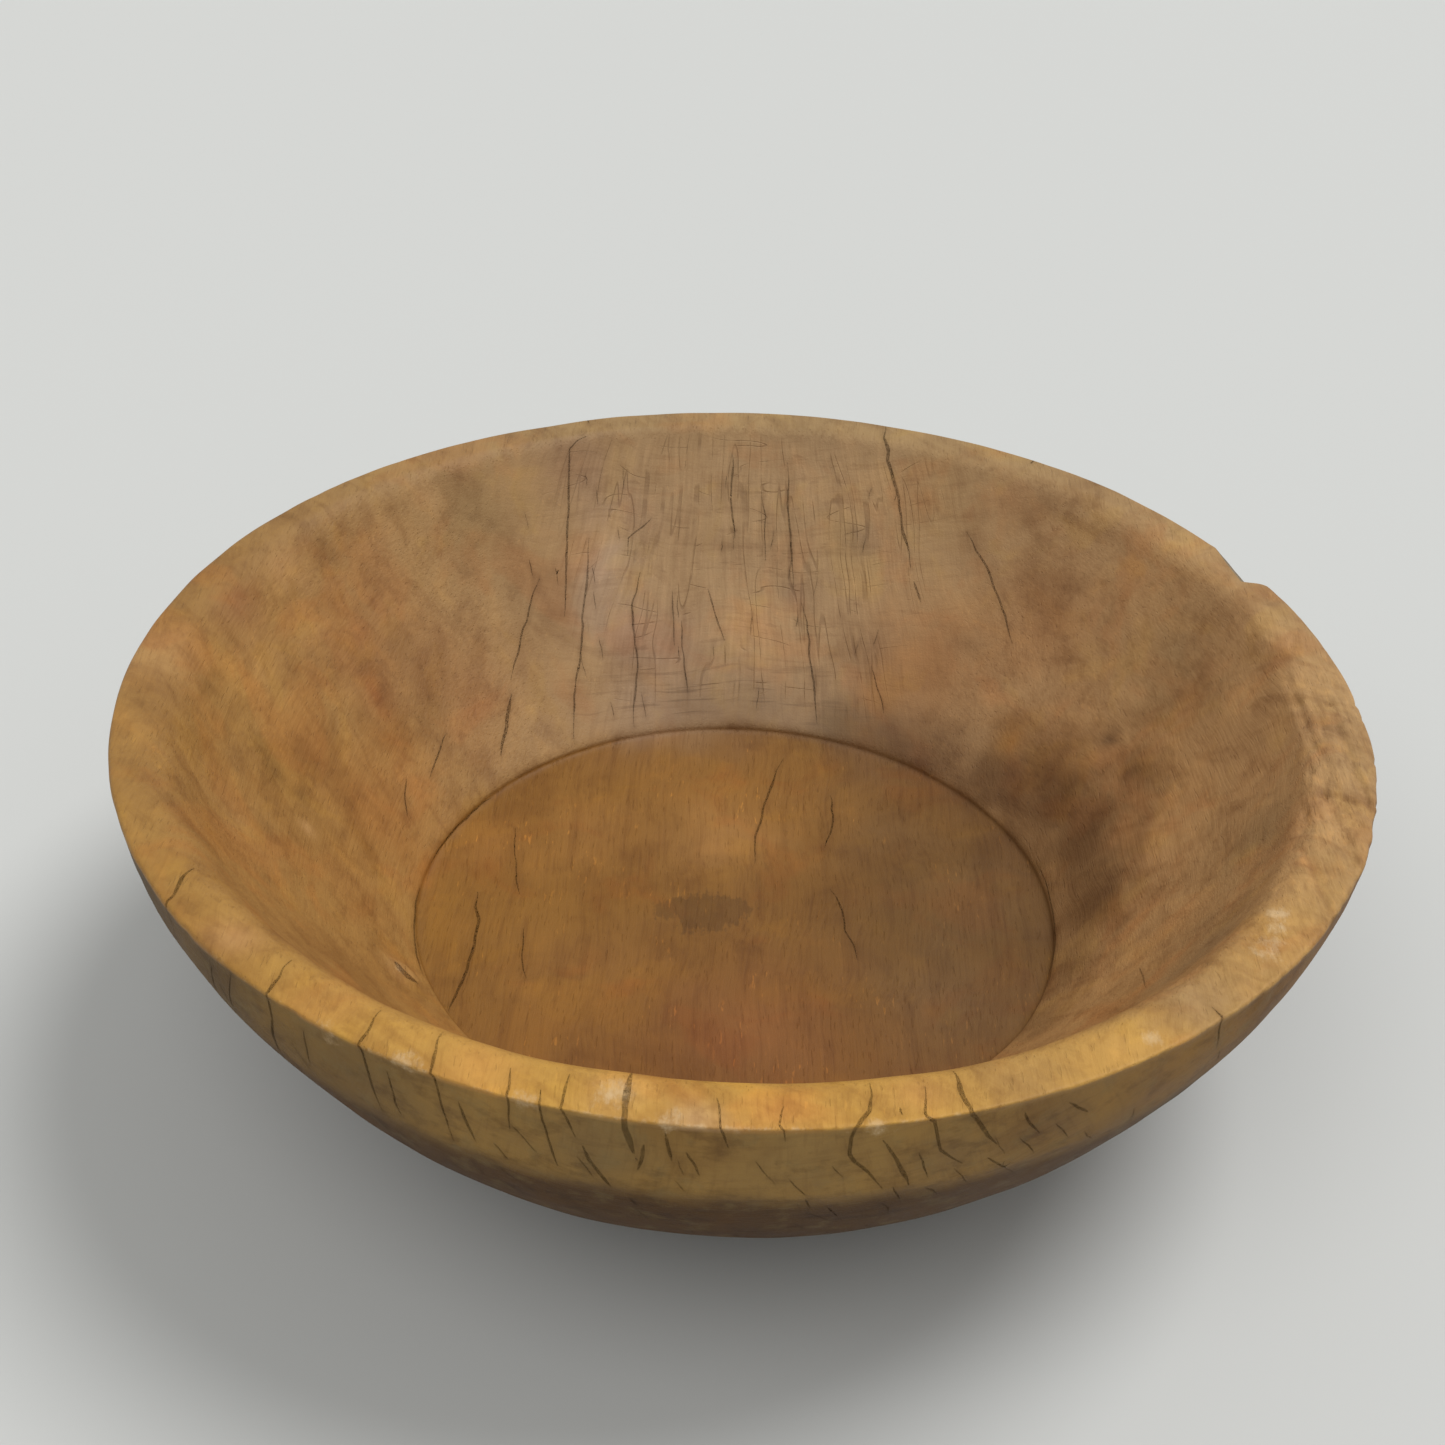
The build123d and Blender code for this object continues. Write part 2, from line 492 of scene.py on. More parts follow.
# Wedges that follow the surface along the checks and close towards their bottoms. The runs are
# gap and depth in millimetres and a path of angles and places.
def checkWedges(runs, random):
    stations = []
    for gap, depth, path in runs:
        turns = np.unwrap(np.radians([turn for turn, spot in path]))
        stations.append((turns, np.array([spot for turn, spot in path], float)))
    allTurns = np.concatenate([turns for turns, spots in stations])
    allSpots = np.concatenate([spots for turns, spots in stations])
    corners = bareSurface(allSpots, allTurns)
    laid, first = [], 0
    for turns, spots in stations:
        run = np.linalg.norm(np.diff(corners[first:first + len(turns)], axis=0), axis=1)
        run = np.concatenate([[0], np.cumsum(run)])
        along = np.linspace(0, run[-1], max(5, int(run[-1] / checkWork["stride"])))
        laid.append((along, np.interp(along, run, turns), np.interp(along, run, spots)))
        first += len(turns)
    angles = np.concatenate([angle for along, angle, place in laid])
    places = np.concatenate([place for along, angle, place in laid])
    allPoints = carved(places, angles)
    allDown = intoWood(places, angles, allPoints)
    verts, faces, first = [], [], 0
    for (gap, depth, path), (along, angle, place) in zip(runs, laid):
        count = len(along)
        points, down = allPoints[first:first + count], allDown[first:first + count]
        first += count
        sway = wave(along, 11 * mm, random) + 0.4 * wave(along, 5 * mm, random)
        fromEnd = np.minimum(np.arange(count), np.arange(count)[::-1])
        sway *= checkWork["wander"] * np.minimum(1, fromEnd / 3)
        across = unit(np.cross(np.gradient(points, axis=0), down))
        points = points + across * sway[:, None]
        across = unit(np.cross(np.gradient(points, axis=0), down))
        checkSpots.extend(points)
        share = np.linspace(0, 1, count)
        taper = np.clip(np.minimum(share, 1 - share) / checkWork["ends"], 0.15, 1) ** 0.7
        uneven = np.clip(1 + 0.15 * wave(along, 8 * mm, random), 0.7, 1.3)
        half = gap * checkWork["open"] * mm / 2 * taper * uneven
        deep = depth * mm * taper
        rise = (half * (1 + checkWork["lift"] / deep))[:, None] * across
        low = (half * 0.1)[:, None] * across
        top = points - down * checkWork["lift"]
        bottom = points + down * deep[:, None]
        wedge = np.stack([top - rise, top + rise, bottom + low, bottom - low], axis=1).reshape(-1, 3)
        last = (count - 1) * 4
        ends = np.array([(3, 2, 1), (3, 1, 0), (last, last + 1, last + 2), (last, last + 2, last + 3)])
        faces.extend((np.concatenate([gridFaces(count, 4, True), ends]) + len(verts)).tolist())
        verts.extend(wedge.tolist())
    return verts, faces


def hairRuns(kind, random):
    tries = kind["count"] * 6
    turns, spots = random.uniform(*kind["angles"], tries), random.uniform(*kind["places"], tries)
    middles = bareSurface(spots, np.radians(turns))
    kept, runs = [], []
    for turn, spot, middle in zip(turns, spots, middles):
        if len(runs) == kind["count"] or any(np.linalg.norm(middle - other) < 11 * mm for other in kept):
            continue
        kept.append(middle)
        length = random.uniform(0.5, 1.2)
        turned, climbed = kind["run"][0] * length * random.uniform(0.4, 1.3), kind["run"][1] * length
        gap = kind["gap"] * random.uniform(0.5, 1)
        runs.append((gap, 4 * gap, ((turn, spot), (turn + turned, spot + climbed))))
    return runs


def cutAway(target, cutter):
    cutter.data.materials.append(insideCheck)
    cut = target.modifiers.new("cut", "BOOLEAN")
    cut.operation = "DIFFERENCE"
    cut.solver = "MANIFOLD"
    cut.material_mode = "TRANSFER"
    cut.object = cutter
    bpy.context.view_layer.update()
    done = bpy.data.meshes.new_from_object(target.evaluated_get(bpy.context.evaluated_depsgraph_get()))
    target.modifiers.remove(cut)
    old = target.data
    target.data = done
    bpy.data.meshes.remove(old)
    bpy.data.objects.remove(cutter)


# The splinter lost from the rim, broken out along the grain.
chip = {
    "angle": 23.4,
    "bite": 12.5 * mm,
    "skew": 10,  # how far the broken face turns off the grain, in degrees
    "run": 33 * mm,
    "drop": 36 * mm,
    "length": 75 * mm,
    "splinters": 1.1 * mm,  # how rough the torn fibres are
    "endTear": 2.5 * mm,  # how rough the end of the break is
    "slant": 0.42,  # how far that end leans back on its way outwards
    "straight": 8 * mm,  # how far out it starts to round away
    "rounding": 110,  # how fast it rounds away
}


def chipCutter():
    turn, skew = math.radians(chip["angle"]), math.radians(chip["skew"])
    reach = shape["rimRadius"] - chip["bite"]
    corner = np.array([reach * math.cos(turn), reach * math.sin(turn), shape["height"]])
    outwards = np.array([math.cos(skew), math.sin(skew), 0])
    grain = np.array([-math.sin(skew), math.cos(skew), 0])
    above = 6 * mm
    rows, columns = 26, 30
    share = np.linspace(0, 1, rows)[:, None]
    sink = -above + (chip["drop"] + 6 * mm + above) * share
    slope = np.maximum(sink, 0) * chip["run"] / chip["drop"] - 1.5 * mm * np.exp(-((sink / 0.008) ** 2))
    along = np.linspace(0, chip["length"], columns)[None, :]
    downwards = np.array([0, 0, -1.0])
    torn = slope[..., None] * outwards + along[..., None] * grain + sink[..., None] * downwards + corner
    flat = torn.reshape(-1, 3)
    rough = chip["splinters"] * roughNoise(flat * (1, 0.15, 1), 0.007, 71, 3).reshape(rows, columns, 1)
    endTear = chip["endTear"] * roughNoise(flat * (1, 0, 1), 0.006, 73, 2).reshape(rows, columns, 1)
    nearEnd = np.exp(-((along[..., None] / 0.006) ** 2))
    front = torn + rough * outwards + endTear * nearEnd * grain
    sheets = []
    for out in np.append(np.arange(0, 28, 2), 75) * mm:
        swing = chip["slant"] * out + chip["rounding"] * max(out - chip["straight"], 0) ** 2
        sheets.append((front + out * outwards - swing * grain).reshape(-1, 3))
    size = rows * columns
    index = np.arange(size).reshape(rows, columns)
    loop = np.concatenate([index[0, :-1], index[:-1, -1], index[-1, :0:-1], index[:0:-1, 0]])
    after = np.roll(loop, -1)
    sheet = gridFaces(rows, columns, False)
    faces = [sheet, sheet[:, ::-1] + size * (len(sheets) - 1)]
    for first in np.arange(len(sheets) - 1) * size:
        faces.append(np.stack([loop, loop + size, after + size], axis=-1) + first)
        faces.append(np.stack([loop, after + size, after], axis=-1) + first)
    return addPiece("splinter", np.concatenate(sheets), np.concatenate(faces).tolist())


# Faces cut by the check wedges get this material, and are later painted near-black as dirt and painted
# shade.
insideCheck = bpy.data.materials.new("inside_check")
bowl = buildBowl()
bowl.data.materials.append(bpy.data.materials.new("worn_wood"))
say(f"body: {len(bowl.data.polygons)} faces")

cutAway(bowl, chipCutter())
say("splinter broken out")
random = np.random.default_rng(100)
for group, runs in checks.items():
    cutAway(bowl, addPiece("checks", *checkWedges(runs, random)))
    say(f"checks, {group}: {len(bowl.data.polygons)} faces")
for group, kind in hairChecks.items():
    cutAway(bowl, addPiece("hair_checks", *checkWedges(hairRuns(kind, random), random)))
    say(f"hair checks, {group}: {len(bowl.data.polygons)} faces")


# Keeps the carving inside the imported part's box.
def fitToBox(piece, low, high):
    points = np.empty(len(piece.data.vertices) * 3)
    piece.data.vertices.foreach_get("co", points)
    points = points.reshape(-1, 3)
    for axis in range(3):
        least, most = points[:, axis].min(), points[:, axis].max()
        newLeast, newMost = max(least, low[axis]), min(most, high[axis])
        points[:, axis] = newLeast + (points[:, axis] - least) * (newMost - newLeast) / (most - least)
    piece.data.vertices.foreach_set("co", points.ravel())
    piece.data.update()
    return points


points = fitToBox(bowl, bowlLow, bowlHigh)


# Place on the profile and turn around the bowl for every point, from the nearest ring.
def whereOnBowl(points):
    places = ringPlaces()
    angles = np.linspace(-math.pi, math.pi, around, endpoint=False)
    grid = carved(places[:, None], angles[None, :]).reshape(-1, 3)
    tree = KDTree(len(grid))
    for index, spot in enumerate(grid):
        tree.insert(spot, index)
    tree.balance()
    nearest = np.array([tree.find(point)[1] for point in points])
    return places[nearest // around], np.arctan2(points[:, 1], points[:, 0])


def nearness(points, spots, reach):
    tree = KDTree(len(spots))
    for index, spot in enumerate(spots):
        tree.insert(spot, index)
    tree.balance()
    away = np.array([tree.find(point)[2] for point in points])
    return np.exp(-((away / reach) ** 2))


place, turn = whereOnBowl(points)
say("places read")


def paint(red, green, blue):
    share = np.array([red, green, blue]) / 255
    return np.where(share <= 0.04045, share / 12.92, ((share + 0.055) / 1.055) ** 2.4)


# Ground colours of the wood, zone by zone, at the four sides of the bowl, with painted shade in three of
# them.
groundAndShadeColours = {
    "rim": {
        "front": (192, 146, 68), "left": (148, 109, 56), "right": (166, 131, 87), "back": (153, 124, 83),
    },
    "wall": {
        "front": (150, 106, 52), "left": (159, 118, 63), "right": (175, 135, 89), "back": (165, 134, 96),
    },
    "floor": {
        # On the floor, right is darker as a painted shadow under the right wall.
        "front": (122, 80, 34), "left": (133, 92, 37), "right": (98, 69, 33), "back": (131, 91, 41),
    },
    "side": {
        # On the side, left is dark as a painted shadow on the bowl's left outside.
        "front": (148, 114, 58), "left": (60, 42, 16), "right": (110, 70, 30), "back": (116, 84, 44),
    },
    # The underside is dark, dirty wood, darkened further as painted shade.
    "underside": {
        "front": (77, 51, 19), "left": (86, 58, 24), "right": (92, 62, 26), "back": (94, 66, 32),
    },
}

# Stains and painted shade: angle, place, reach in millimetres, colour and strength.
stainsAndShade = (
    # Pale grey patches on the back wall, with more below: grey dust and a painted sheen.
    (108, 3.3, 24, (160, 132, 108), 0.5),
    (113, 3.6, 18, (164, 138, 114), 0.55),
    (104, 3.75, 22, (160, 130, 108), 0.5),
    (112, 3.08, 22, (138, 106, 82), 0.5),
    (98, 3.93, 26, (130, 104, 78), 0.7),
    (86, 3.93, 24, (128, 102, 74), 0.65),
    (155, 3.2, 30, (172, 132, 80), 0.45),
    (110, 3.92, 20, (144, 120, 98), 0.55),
    (69, 3.96, 24, (88, 66, 44), 0.75),
    (55, 3.99, 20, (98, 70, 42), 0.6),
    (74, 3.36, 9, (122, 98, 78), 0.6),
    (82, 3.58, 9, (126, 102, 80), 0.5),
    (68, 3.72, 12, (124, 98, 72), 0.5),
    (58, 3.72, 34, (152, 102, 54), 0.6),
    (64, 3.84, 12, (172, 124, 68), 0.6),
    (44, 3.45, 32, (152, 104, 60), 0.5),
    (127, 3.2, 24, (140, 113, 73), 0.5),
    (65, 3.15, 30, (176, 143, 96), 0.5),
    # More pale grey patches on the back wall: grey dust and a painted sheen.
    (109, 3.42, 11, (166, 140, 116), 0.55),
    (112, 3.48, 10, (172, 146, 122), 0.6),
    (110, 3.7, 13, (162, 136, 112), 0.5),
    (121, 3.5, 16, (136, 108, 74), 0.4),
    (150, 3.45, 34, (150, 103, 60), 0.55),
    (138, 3.72, 26, (146, 98, 56), 0.5),
    (165, 3.02, 18, (142, 95, 62), 0.6),
    (155, 3.05, 12, (184, 140, 92), 0.5),
    (140, 3.14, 10, (184, 142, 94), 0.5),
    (132, 3.1, 8, (186, 146, 98), 0.5),
    (172, 3.35, 30, (174, 132, 74), 0.6),
    (-165, 3.35, 26, (170, 126, 74), 0.5),
    (170, 3.8, 30, (160, 106, 50), 0.6),
    (-170, 3.75, 22, (156, 108, 56), 0.5),
    (180, 3.45, 7, (118, 84, 44), 0.65),
    (178, 3.37, 6, (122, 88, 46), 0.55),
    (180, 3.56, 6, (120, 86, 44), 0.6),
    (173, 3.5, 8, (132, 96, 50), 0.5),
    (160, 3.4, 9, (134, 94, 50), 0.45),
    (152, 3.25, 8, (136, 98, 56), 0.45),
    (-176, 3.3, 7, (130, 94, 52), 0.5),
    (-168, 3.45, 8, (134, 96, 50), 0.45),
    (167, 3.17, 14, (178, 136, 82), 0.5),
    (156, 3.72, 16, (170, 120, 58), 0.5),
    (154, 3.58, 12, (146, 94, 50), 0.5),
    (146, 3.5, 9, (132, 96, 54), 0.45),
    (184, 3.75, 10, (164, 118, 58), 0.5),
    (-175, 3.6, 5, (196, 152, 100), 0.6),
    (24, 3.3, 28, (136, 110, 74), 0.5),
    (12, 3.55, 34, (146, 106, 62), 0.4),
    (28, 3.78, 24, (150, 99, 50), 0.5),
    (23, 3.6, 5, (100, 70, 44), 0.8),
    (15, 3.6, 6, (106, 74, 46), 0.7),
    (-16, 3.2, 28, (138, 109, 72), 0.6),
    (-35, 3.25, 26, (134, 106, 72), 0.6),
    # A band of painted shadow along the foot of the right wall, from the back right round to the front
    # right.
    (60, 3.97, 18, (98, 68, 40), 0.6),
    (48, 3.95, 22, (98, 66, 36), 0.7),
    (36, 3.91, 28, (90, 60, 31), 0.8),
    (23, 3.87, 31, (88, 58, 29), 0.85),
    (10, 3.87, 31, (88, 58, 29), 0.85),
    (-4, 3.89, 28, (90, 60, 31), 0.8),
    (-18, 3.94, 22, (98, 68, 37), 0.65),
    (-32, 3.97, 18, (104, 74, 42), 0.5),
    (38, 3.8, 10, (168, 118, 58), 0.5),
    (-154, 3.89, 9, (190, 146, 92), 0.8),
    (90, 4.1, 16, (118, 80, 40), 0.6),
    (60, 4.1, 16, (110, 78, 44), 0.5),
    (120, 4.1, 16, (122, 84, 44), 0.5),
    (96, 4.62, 26, (154, 112, 62), 0.7),
    (140, 4.4, 24, (148, 104, 54), 0.4),
    (42, 4.35, 24, (110, 80, 46), 0.6),
    (-32, 4.3, 30, (108, 80, 48), 0.7),
    (5, 4.25, 30, (118, 88, 52), 0.4),
    (-85, 4.45, 38, (128, 82, 46), 0.6),
    (-150, 4.45, 26, (140, 98, 50), 0.4),
    (160, 4.15, 20, (148, 100, 48), 0.5),
    (-99, 2.5, 11, (208, 164, 100), 0.6),
    (-135, 2.45, 11, (196, 150, 98), 0.6),
    (-93, 2.15, 9, (220, 182, 134), 0.6),
    (-110, 2.4, 16, (196, 140, 72), 0.5),
    (-87, 2.35, 14, (204, 146, 76), 0.5),
    (-76, 2.5, 10, (196, 142, 78), 0.5),
    (-124, 2.4, 16, (178, 126, 64), 0.5),
    (-68, 2.4, 20, (164, 128, 78), 0.6),
    (-50, 2.5, 24, (158, 126, 86), 0.7),
    (-20, 2.4, 22, (184, 142, 92), 0.5),
    (178, 2.4, 22, (184, 142, 90), 0.5),
    (-100, 1.9, 20, (104, 84, 54), 0.5),
    (-85, 1.93, 22, (134, 108, 66), 0.5),
    (-118, 1.9, 22, (110, 86, 50), 0.5),
    (-74, 1.88, 16, (120, 94, 58), 0.5),
    (-66, 1.92, 16, (112, 84, 50), 0.5),
    (-122, 1.85, 20, (98, 74, 38), 0.45),
    (-135, 1.9, 24, (82, 61, 29), 0.6),
    (-150, 1.9, 24, (70, 51, 23), 0.5),
    (-57, 1.88, 20, (106, 76, 40), 0.4),
    (-44, 1.9, 26, (100, 69, 34), 0.5),
)


# Spots on the rim rubbed down to pale wood: angle, place and reach in millimetres.
rubbedSpots = (
    (-35.5, 2.65, 7), (-37.5, 2.58, 8), (-39.5, 2.5, 8), (-41.5, 2.42, 7),
    (-56.5, 2.38, 6), (-99, 2.45, 10), (-95, 2.1, 7), (-115, 2.06, 8),
    (-122, 2.03, 7), (-105, 2.03, 7), (-80, 2.03, 6), (-154.5, 3.88, 6),
)


def zoneColour(zone, points):
    colours = groundAndShadeColours[zone]
    radius = np.hypot(points[:, 0], points[:, 1])
    right, back = points[:, 0] / np.maximum(radius, 1e-6), points[:, 1] / np.maximum(radius, 1e-6)
    sides = {"front": np.clip(-back, 0, 1), "left": np.clip(-right, 0, 1), "back": np.clip(back, 0, 1)}
    sides["right"] = np.clip(right, 0, 1)
    parted = step(radius, 0, 0.11)  # the four colours meet evenly in the middle of the floor
    weights = {side: sides[side] ** 2 * parted + 0.25 * (1 - parted) for side in sides}
    return sum(weights[side][:, None] * paint(*colours[side]) for side in colours)


def colourBowl(points, place, turn):
    colour = zoneColour("underside", points)
    height = points[:, 2] + 6 * mm * roughNoise(points, 0.03, 81, 3)
    side = step(height, 0.128, 0.146) * (0.4 + 0.6 * bump(turn, -90, 50)) + step(height, 0.14, 0.165) * 0.5
    for zone, mask in (
        ("side", np.clip(side, 0, 1)),
        ("rim", step(place, 1.985, 2.03)),
        ("wall", step(place, 2.82 - 0.4 * np.abs(np.cos(turn)), 3.12)),
        ("floor", step(place, 4.0, 4.02)),
    ):
        colour += (zoneColour(zone, points) - colour) * mask[:, None]
    blur = 1 + 0.5 * roughNoise(points, 0.02, 83, 3)
    inside = step(place, 2.7, 2.95)
    for angle, spot, reach, shade, strength in stainsAndShade:
        middle = bareSurface(spot, math.radians(angle))
        away = np.linalg.norm(points - middle, axis=1) / (reach * mm) * blur
        offWall = np.where(place < 1.99, spot < 1.99, spot >= 1.99) * (place < 3.1)
        sameSide = inside if spot >= 2.95 else offWall
        mask = np.exp(-(away**2)) * strength * sameSide
        colour += (paint(*shade) - colour) * mask[:, None]
    return colour


def addField(mesh, name, values, kind="FLOAT", domain="POINT"):
    field = mesh.attributes.new(name, kind, domain)
    if kind == "FLOAT_COLOR":
        rgba = np.concatenate([values, np.ones((len(values), 1))], axis=1)
        field.data.foreach_set("color", rgba.astype(np.float32).ravel())
    else:
        field.data.foreach_set("value", np.asarray(values, np.float32))


scorch = {"middle": (-14 * mm, -2 * mm), "reach": (30 * mm, 17 * mm, 30 * mm)}


def paintFields(mesh, points, place, turn):
    addField(mesh, "ground", colourBowl(points, place, turn), "FLOAT_COLOR")
    wall = step(place, 2.95, 3.1) * (1 - step(place, 3.97, 4.01))
    outside = 1 - step(place, 1.97, 2.01)
    addField(mesh, "endGrain", (wall + outside) * step(np.abs(np.sin(turn)), 0.72, 0.93))
    addField(mesh, "crazed", wall * step(np.sin(turn), 0.86, 0.96) * (1 - step(place, 3.85, 3.97)))
    addField(mesh, "outside", outside)
    addField(mesh, "floor", step(place, 4.0, 4.03))
    arris = np.exp(-(((place - 2.04) / 0.055) ** 2)) * (0.15 + 0.5 * bump(turn, -98, 40))
    mouth = 0.2 * np.exp(-(((place - 2.93) / 0.08) ** 2)) * bump(turn, 90, 60)
    rubbed = arris + mouth
    for angle, spot, reach in rubbedSpots:
        away = np.linalg.norm(points - bareSurface(spot, math.radians(angle)), axis=1) / (reach * mm)
        rubbed = np.maximum(rubbed, np.exp(-(away**2)))
    addField(mesh, "rubbed", rubbed)
    addField(mesh, "polish", wall * bump(turn, 95, 30) * step(place, 3.7, 3.9))
    addField(mesh, "weathered", step(place, 1.95, 2.05) * (1 - step(place, 2.8, 3.1)) * bump(turn, -15, 28))
    scorchMiddle = np.array([*scorch["middle"], points[place > 4.5, 2].mean()])
    fromScorch = np.linalg.norm((points - scorchMiddle) / scorch["reach"], axis=1)
    scorched = np.exp(-(fromScorch**2))
    addField(mesh, "scorched", scorched * (place > 4.3))
    addField(mesh, "besideCheck", nearness(points, checkSpots, 1.8 * mm))
    cutFaces = np.zeros(len(mesh.polygons), np.int32)
    mesh.polygons.foreach_get("material_index", cutFaces)
    names = [material.name for material in mesh.materials]
    inCheck = cutFaces == names.index("inside_check")
    middles = np.empty(len(mesh.polygons) * 3)
    mesh.polygons.foreach_get("center", middles)
    middles = middles.reshape(-1, 3)
    facing = np.degrees(np.arctan2(middles[:, 1], middles[:, 0]))
    splinter = inCheck & (np.abs(facing - 28) < 12) & (middles[:, 0] > 0.2)
    addField(mesh, "inCheck", (inCheck & ~splinter).astype(float), domain="FACE")
    addField(mesh, "torn", splinter.astype(float), domain="FACE")
    say(f"{inCheck.sum()} faces inside the checks, {splinter.sum()} on the torn face")
    while len(mesh.materials) > 1:
        mesh.materials.pop(index=len(mesh.materials) - 1)
    mesh.polygons.foreach_set("material_index", np.zeros(len(mesh.polygons), np.int32))


paintFields(bowl.data, points, place, turn)


# A socket that can be reckoned with: mask * 0.5 + 0.2 adds the Math nodes it needs.
class Wire:
    def __init__(self, tree, socket=None):
        self.tree = tree
        self.socket = socket

    def node(self, kind, settings=None, values=None, output=0):
        made = self.tree.nodes.new(kind)
        for name, value in (settings or {}).items():
            setattr(made, name, value)
        for name, value in (values or {}).items():
            if isinstance(value, Wire):
                self.tree.links.new(value.socket, made.inputs[name])
            else:
                made.inputs[name].default_value = value
        return Wire(self.tree, made.outputs[output])

    def math(self, operation, *values):
        return self.node("ShaderNodeMath", {"operation": operation}, dict(enumerate(values)))

    def __add__(self, other):
        return self.math("ADD", self, other)

    def __radd__(self, other):
        return self.math("ADD", other, self)

    def __sub__(self, other):
        return self.math("SUBTRACT", self, other)

    def __rsub__(self, other):
        return self.math("SUBTRACT", other, self)

    def __mul__(self, other):
        return self.math("MULTIPLY", self, other)

    def __rmul__(self, other):
        return self.math("MULTIPLY", other, self)

    def between(self, low, high):
        values = {"Value": self, "From Min": low, "From Max": high}
        return self.node("ShaderNodeMapRange", {"interpolation_type": "SMOOTHSTEP"}, values)

    def mixed(self, mask, other, mode="MIX"):
        settings = {"data_type": "RGBA", "blend_type": mode, "clamp_factor": True}
        return self.node("ShaderNodeMix", settings, {0: mask, 6: self, 7: other}, 2)

    def tinted(self, mask, tint):
        return self.mixed(mask, (*tint, 1), "MULTIPLY")

    def outlet(self, name):
        return Wire(self.tree, self.socket.node.outputs[name])

    def stretched(self, scales):
        return self.node("ShaderNodeVectorMath", {"operation": "MULTIPLY"}, {0: self, 1: scales})

    def cloud(self, size, detail=3, rough=0.5, warp=0, shift=0):
        offset = (shift, shift * 0.7, shift * 1.3)
        moved = self.node("ShaderNodeVectorMath", {"operation": "ADD"}, {0: self, 1: offset})
        values = {
            "Vector": moved,
            "Scale": 1 / size,
            "Detail": detail,
            "Roughness": rough,
            "Distortion": warp,
        }
        return self.node("ShaderNodeTexNoise", {}, values)


woodLook = {
    "pithHeight": 0.55,  # the heart of the log ran this far above the foot
    "blotches": 0.5,
    "fibres": 0.32,
    "rings": 0.16,
    "crazing": 0.3,
    "flecks": 0.55,
    "roughness": 0.55,
    "relief": 0.75,
}


